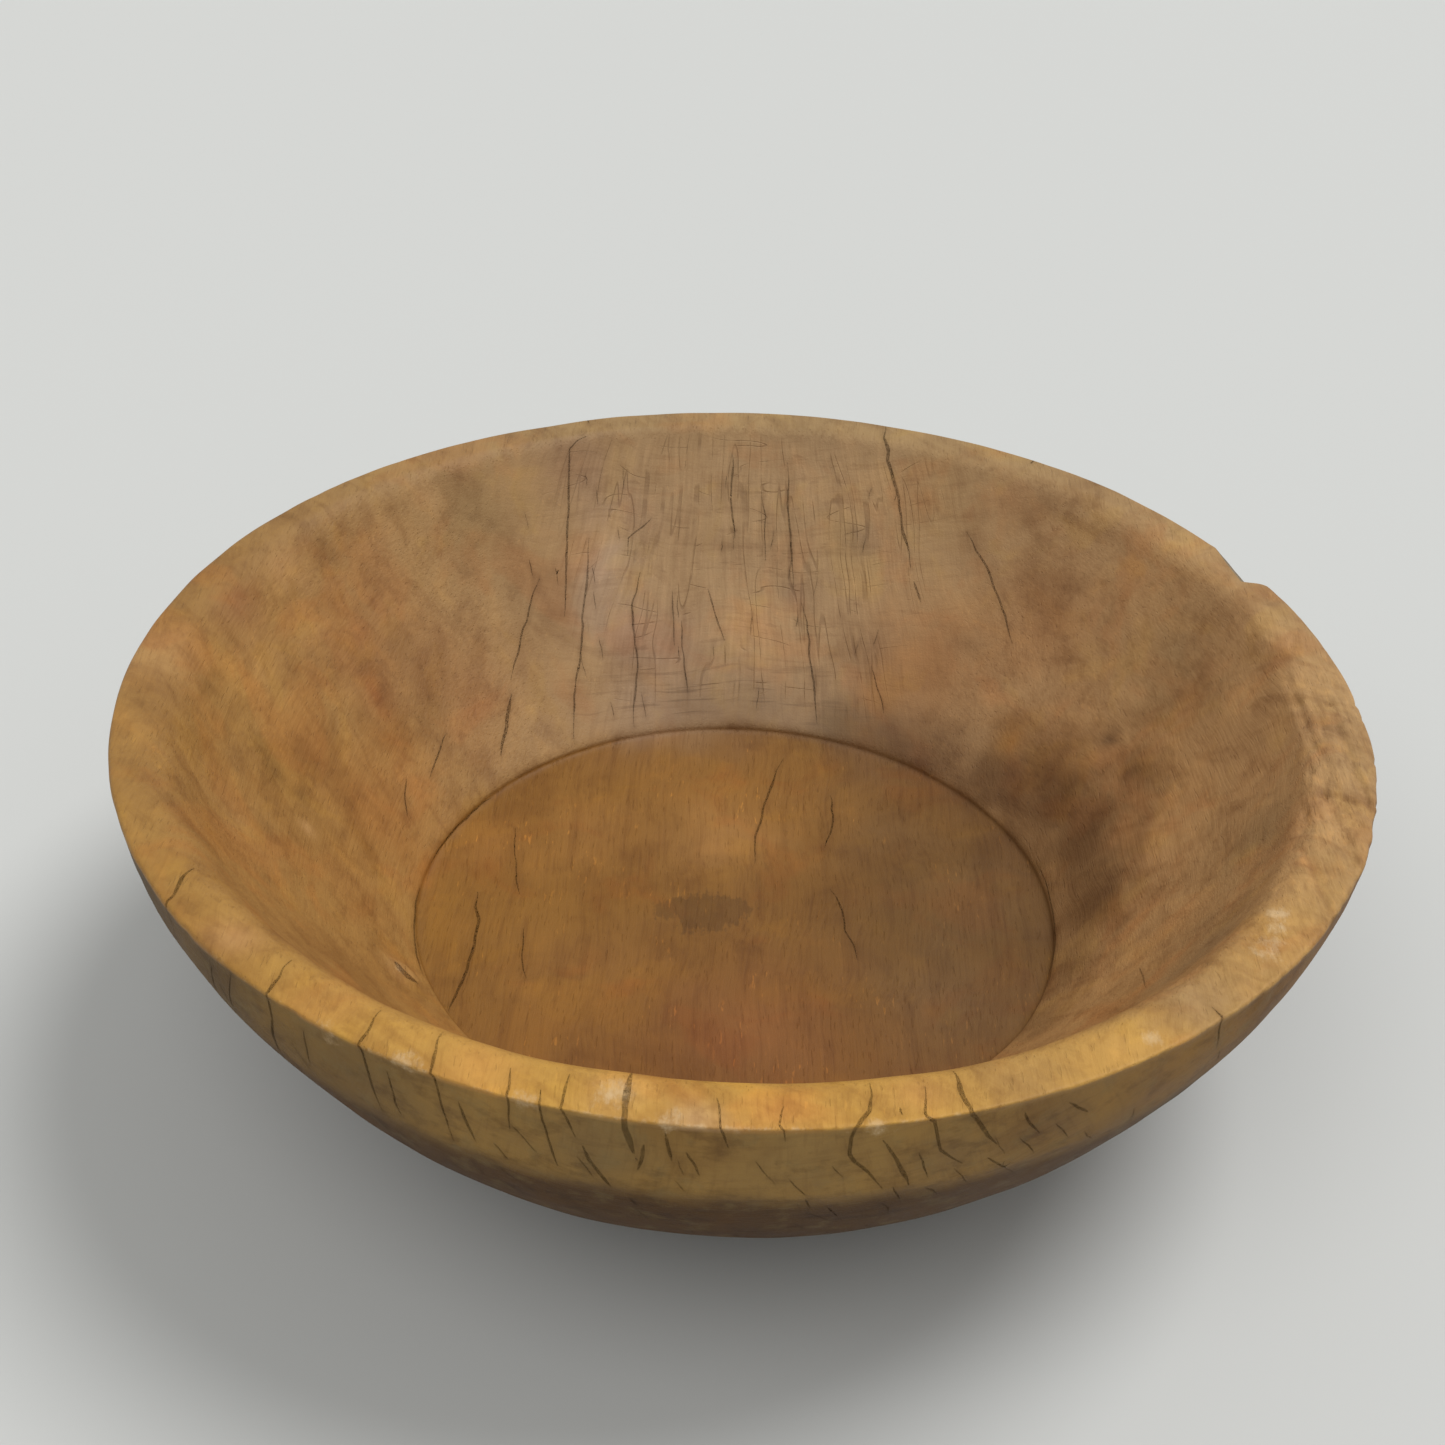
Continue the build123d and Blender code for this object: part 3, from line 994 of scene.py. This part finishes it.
def wornWood():
    look = woodLook
    material = bowl.data.materials[0]
    material.use_nodes = True
    tree = material.node_tree
    wood = Wire(tree)
    spot = wood.node("ShaderNodeTexCoord", output="Object")

    def field(name):
        return wood.node("ShaderNodeAttribute", {"attribute_name": name}, output="Fac")

    ground = wood.node("ShaderNodeAttribute", {"attribute_name": "ground"}, output="Color")
    endGrain, outside, onFloor = field("endGrain"), field("outside"), field("floor")
    sideGrain = 1 - endGrain
    inside = 1 - outside
    bareWall = inside * sideGrain * (1 - onFloor)
    wavy = spot.cloud(0.09, 2, shift=3)
    swayed = {0: wavy, 1: (0.02, 0.01, 0.02), 2: spot}
    flow = spot.node("ShaderNodeVectorMath", {"operation": "MULTIPLY_ADD"}, swayed)

    # The heart of the log, for rings and rays on the end grain.
    parts = flow.node("ShaderNodeSeparateXYZ", {}, {0: flow})
    across = parts.outlet("X")
    below = look["pithHeight"] - parts.outlet("Z")
    ray = wood.math("ARCTAN2", across, below)
    ring = wood.math("SQRT", across * across + below * below)
    polar = wood.node("ShaderNodeCombineXYZ", {}, {"X": ray * 0.42, "Y": ring, "Z": 0})

    blotch = spot.cloud(0.06, 4, 0.6, 0.4)
    mottle = spot.stretched((1, 0.6, 1)).cloud(0.02, 6, 0.68, 0.3, 7)
    turned = {"Vector": spot, "Angle": -0.8}
    slanted = spot.node("ShaderNodeVectorRotate", {"rotation_type": "Z_AXIS"}, turned)
    smudge = slanted.stretched((1, 0.25, 0.5)).cloud(0.016, 4, 0.55, 0.5, 27)
    reddish = spot.cloud(0.045, 3, 0.55, 0.6, 51).between(0.5, 0.66)
    golden = spot.cloud(0.036, 3, 0.55, 0.6, 57).between(0.52, 0.68)
    fibre = flow.stretched((1, 0.035, 1)).cloud(0.0016, 4, 0.65, 0, 5)
    streak = flow.stretched((1, 0.06, 1)).cloud(0.007, 3, 0.6, 0, 11)
    rings = polar.stretched((0.1, 1, 1)).cloud(0.0028, 3, 0.6, 0, 2)
    rays = polar.stretched((1, 0.12, 1)).cloud(0.0022, 3, 0.6, 0, 4)
    speck = spot.cloud(0.0011, 2, 0.6, 0, 9)

    colour = ground
    darker = blotch.between(0.5, 0.3) * look["blotches"]
    colour = colour.tinted(darker, (0.62, 0.52, 0.44))
    paler = blotch.between(0.5, 0.72) * look["blotches"] * 0.7
    colour = colour.tinted(paler, (1.35, 1.3, 1.2))
    grime = spot.stretched((1, 0.7, 1)).cloud(0.009, 4, 0.65, 0.4, 61).between(0.52, 0.34)
    colour = colour.tinted(grime * bareWall * 0.3, (0.6, 0.52, 0.44))
    colour = colour.tinted(mottle.between(0.52, 0.3) * 0.3, (0.6, 0.5, 0.42))
    colour = colour.tinted(mottle.between(0.52, 0.75) * 0.3, (1.35, 1.3, 1.2))
    colour = colour.tinted(reddish * inside * 0.45, (1.06, 0.84, 0.7))
    colour = colour.tinted(golden * inside * 0.45, (1.16, 1.16, 0.9))
    colour = colour.tinted(smudge.between(0.5, 0.32) * bareWall * 0.4, (0.6, 0.5, 0.4))
    colour = colour.tinted(smudge.between(0.54, 0.72) * bareWall * 0.35, (1.3, 1.28, 1.15))
    lined = sideGrain * (0.55 + 0.25 * onFloor)
    colour = colour.tinted(streak.between(0.5, 0.3) * lined * 0.35, (0.55, 0.44, 0.35))
    colour = colour.tinted(fibre.between(0.52, 0.3) * lined * look["fibres"], (0.45, 0.32, 0.22))
    colour = colour.tinted(fibre.between(0.56, 0.75) * lined * 0.4, (1.35, 1.35, 1.3))
    colour = colour.tinted(rings.between(0.5, 0.3) * endGrain * look["rings"], (0.4, 0.28, 0.2))
    colour = colour.tinted(rays.between(0.5, 0.3) * endGrain * look["rings"], (0.4, 0.28, 0.2))

    # Crazing on the end grain: upright hairlines, crossed here and there by short level ones.
    upright = polar.stretched((1, 0.1, 1)).cloud(0.01, 1, 0.5, 0, 13) - 0.5
    crossing = polar.stretched((0.16, 1, 1)).cloud(0.009, 0, 0.5, 0, 16) - 0.5
    patchy = spot.cloud(0.02, 2, 0.5, 0, 15)
    hairs = wood.math("ABSOLUTE", upright).between(0.012, 0.002) * patchy.between(0.4, 0.55)
    ties = wood.math("ABSOLUTE", crossing).between(0.01, 0.002) * patchy.between(0.5, 0.6)
    crazing = wood.math("MAXIMUM", hairs, ties) * field("crazed")
    colour = colour.tinted(crazing * look["crazing"], (0.25, 0.17, 0.12))

    colour = colour.tinted(rays.between(0.5, 0.66) * field("crazed") * 0.3, (1.3, 1.3, 1.35))

    # Level lines low on the end grain, where the growth rings come out.
    level = polar.stretched((0.05, 1, 1)).cloud(0.0022, 2, 0.6, 0, 17).between(0.6, 0.68)
    dashes = polar.stretched((0.25, 1, 1)).cloud(0.004, 2, 0.6, 0, 19).between(0.64, 0.7)
    colour = colour.tinted(level * field("polish") * 0.5, (0.5, 0.45, 0.42))
    colour = colour.tinted(dashes * field("crazed") * 0.22, (0.45, 0.38, 0.34))

    # Short dark pores and pale flecks along the grain.
    pores = spot.stretched((1, 0.1, 1)).cloud(0.0011, 1, 0.5, 0, 21).between(0.66, 0.74)
    colour = colour.tinted(pores * sideGrain * 0.13, (0.35, 0.24, 0.16))
    flecks = spot.stretched((1, 0.16, 1)).cloud(0.0017, 2, 0.5, 0, 23).between(0.64, 0.72)
    fleckPatch = spot.cloud(0.035, 2, 0.5, 0, 25).between(0.48, 0.62)
    colour = colour.tinted(flecks * fleckPatch * (0.25 + 0.75 * onFloor) * look["flecks"], (2.0, 1.9, 1.6))

    # Rubbed edges, weathered rim, scorch, dirt beside the checks, and their insides painted near-black as
    # dirt and painted shade.
    patches = spot.stretched((1, 0.5, 1)).cloud(0.007, 5, 0.75, 0, 31) - 0.5
    rubbed = (field("rubbed") + 2.6 * patches).between(0.45, 1.3)
    colour = colour.mixed(rubbed * 0.55, (0.66, 0.49, 0.29, 1))
    weathered = field("weathered")
    pitted = spot.stretched((1, 0.3, 1)).cloud(0.004, 3, 0.6, 0, 33)
    colour = colour.tinted(pitted.between(0.5, 0.34) * weathered * 0.3, (0.35, 0.24, 0.15))
    colour = colour.tinted(pitted.between(0.52, 0.7) * weathered * 0.5, (1.4, 1.35, 1.25))
    greyed = outside * spot.cloud(0.012, 4, 0.65, 0, 35).between(0.5, 0.7)
    colour = colour.mixed(greyed * 0.3, (0.19, 0.135, 0.052, 1))
    dirty = outside * spot.stretched((1, 1, 1.8)).cloud(0.016, 5, 0.66, 0, 37).between(0.52, 0.32)
    colour = colour.tinted(dirty * 0.5, (0.45, 0.38, 0.3))
    frayed = spot.stretched((1, 0.25, 1)).cloud(0.004, 3, 0.7, 0, 41)
    ragged = spot.cloud(0.02, 4, 0.6, 0, 43) + 0.7 * frayed
    scorched = (field("scorched") + 1.5 * (ragged - 0.85)).between(0.5, 0.66)
    colour = colour.tinted(scorched * 0.52, (0.48, 0.5, 0.62))
    soiled = field("besideCheck") * (0.35 + 0.65 * mottle.between(0.4, 0.6))
    colour = colour.tinted(soiled * 0.3, (0.3, 0.22, 0.16))
    torn = field("torn")
    colour = colour.mixed(torn * 0.8, (0.17, 0.125, 0.068, 1))
    # Near-black inside the checks: dirt, and painted shade deep in the gaps.
    inCheck = field("inCheck")
    colour = colour.mixed(inCheck, (0.018, 0.010, 0.005, 1))

    roughness = look["roughness"] + 0.32 * (mottle - 0.5) + 0.08 * outside
    roughness = roughness - 0.16 * field("polish") + 0.3 * inCheck
    height = (
        0.5 * fibre * sideGrain
        + 0.25 * mottle
        + 0.35 * rays * endGrain
        + 0.25 * rings * endGrain
        - 0.35 * crazing
        - 0.25 * pores * sideGrain
        + 1.1 * pitted * weathered
        + 0.2 * speck
    )
    raised = {"Strength": look["relief"], "Distance": 0.0009, "Height": height}
    relief = height.node("ShaderNodeBump", {}, raised)
    shader = tree.nodes["Principled BSDF"]
    shader.inputs["Specular IOR Level"].default_value = 0.22
    for name, wire in (("Base Color", colour), ("Roughness", roughness), ("Normal", relief)):
        tree.links.new(wire.socket, shader.inputs[name])


wornWood()
bowl.data.polygons.foreach_set("use_smooth", [True] * len(bowl.data.polygons))
bowl.data.set_sharp_from_angle(angle=math.radians(38))
say(f"bowl: {sum(len(face.vertices) - 2 for face in bowl.data.polygons)} triangles")
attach(bowl, "root")
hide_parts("bowl")


# Floor, light and camera.
stageSetup = {
    "floorReach": 60,
    "floorColour": (0.575, 0.58, 0.565, 1),
    "backdrop": (0.66, 0.67, 0.65, 1),
    "roomColour": (0.86, 0.87, 0.86, 1),
    "roomStrength": 0.46,
    "window": {"from": (1.1, 0.5, 2.4), "spread": 28, "strength": 1.8},
    "ceiling": {"from": (-0.7, -1.5, 2.5), "spread": 48, "strength": 0.88},
}


def buildStage():
    bpy.ops.mesh.primitive_circle_add(vertices=96, radius=stageSetup["floorReach"], fill_type="NGON")
    floor = bpy.context.object
    floor.name = "floor"
    pale = bpy.data.materials.new("pale_floor")
    pale.use_nodes = True
    shader = pale.node_tree.nodes["Principled BSDF"]
    shader.inputs["Base Color"].default_value = stageSetup["floorColour"]
    shader.inputs["Roughness"].default_value = 0.9
    floor.data.materials.append(pale)


def addLamp(name):
    setup = stageSetup[name]
    light = bpy.data.lights.new(name, "SUN")
    light.angle = math.radians(setup["spread"])
    light.energy = setup["strength"]
    lamp = bpy.data.objects.new(name, light)
    lamp.location = setup["from"]
    lamp.rotation_euler = (-Vector(setup["from"])).to_track_quat("-Z", "Y").to_euler()
    bpy.context.scene.collection.objects.link(lamp)


# The room lights the bowl evenly, and the camera and reflections see the pale backdrop.
def buildRoom():
    world = bpy.data.worlds.new("room")
    world.use_nodes = True
    room = Wire(world.node_tree)
    path = room.node("ShaderNodeLightPath")
    mirrored = path.outlet("Is Glossy Ray") + path.outlet("Is Transmission Ray")
    direct = room.math("MINIMUM", path.outlet("Is Camera Ray") + mirrored, 1)
    light = world.node_tree.nodes["Background"]
    light.inputs["Color"].default_value = stageSetup["roomColour"]
    light.inputs["Strength"].default_value = stageSetup["roomStrength"]
    backdrop = room.node("ShaderNodeBackground", {}, {"Color": stageSetup["backdrop"], "Strength": 1})
    unseen = Wire(room.tree, light.outputs[0])
    shown = room.node("ShaderNodeMixShader", {}, {0: direct, 1: unseen, 2: backdrop})
    room.tree.links.new(shown.socket, world.node_tree.nodes["World Output"].inputs["Surface"])
    bpy.context.scene.world = world


cameraSetup = {"place": (-0.0094, -0.773, 0.679), "down": 34.16, "roll": 1.95, "lens": 50.7}


def buildCamera():
    down, roll = math.radians(cameraSetup["down"]), math.radians(cameraSetup["roll"])
    right = Vector((1, 0, 0))
    up = Vector((0, math.sin(down), math.cos(down)))
    tiltedRight = right * math.cos(roll) + up * math.sin(roll)
    tiltedUp = up * math.cos(roll) - right * math.sin(roll)
    back = tiltedRight.cross(tiltedUp)
    camera = bpy.data.objects.new("camera", bpy.data.cameras.new("camera"))
    camera.data.lens = cameraSetup["lens"]
    camera.data.clip_start = 0.01
    camera.matrix_world = Matrix((tiltedRight, tiltedUp, back)).transposed().to_4x4()
    camera.location = cameraSetup["place"]
    bpy.context.scene.collection.objects.link(camera)
    bpy.context.scene.camera = camera


buildStage()
addLamp("window")
addLamp("ceiling")
buildCamera()
buildRoom()
bpy.context.scene.view_settings.view_transform = "Standard"

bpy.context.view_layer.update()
say("scene ready")
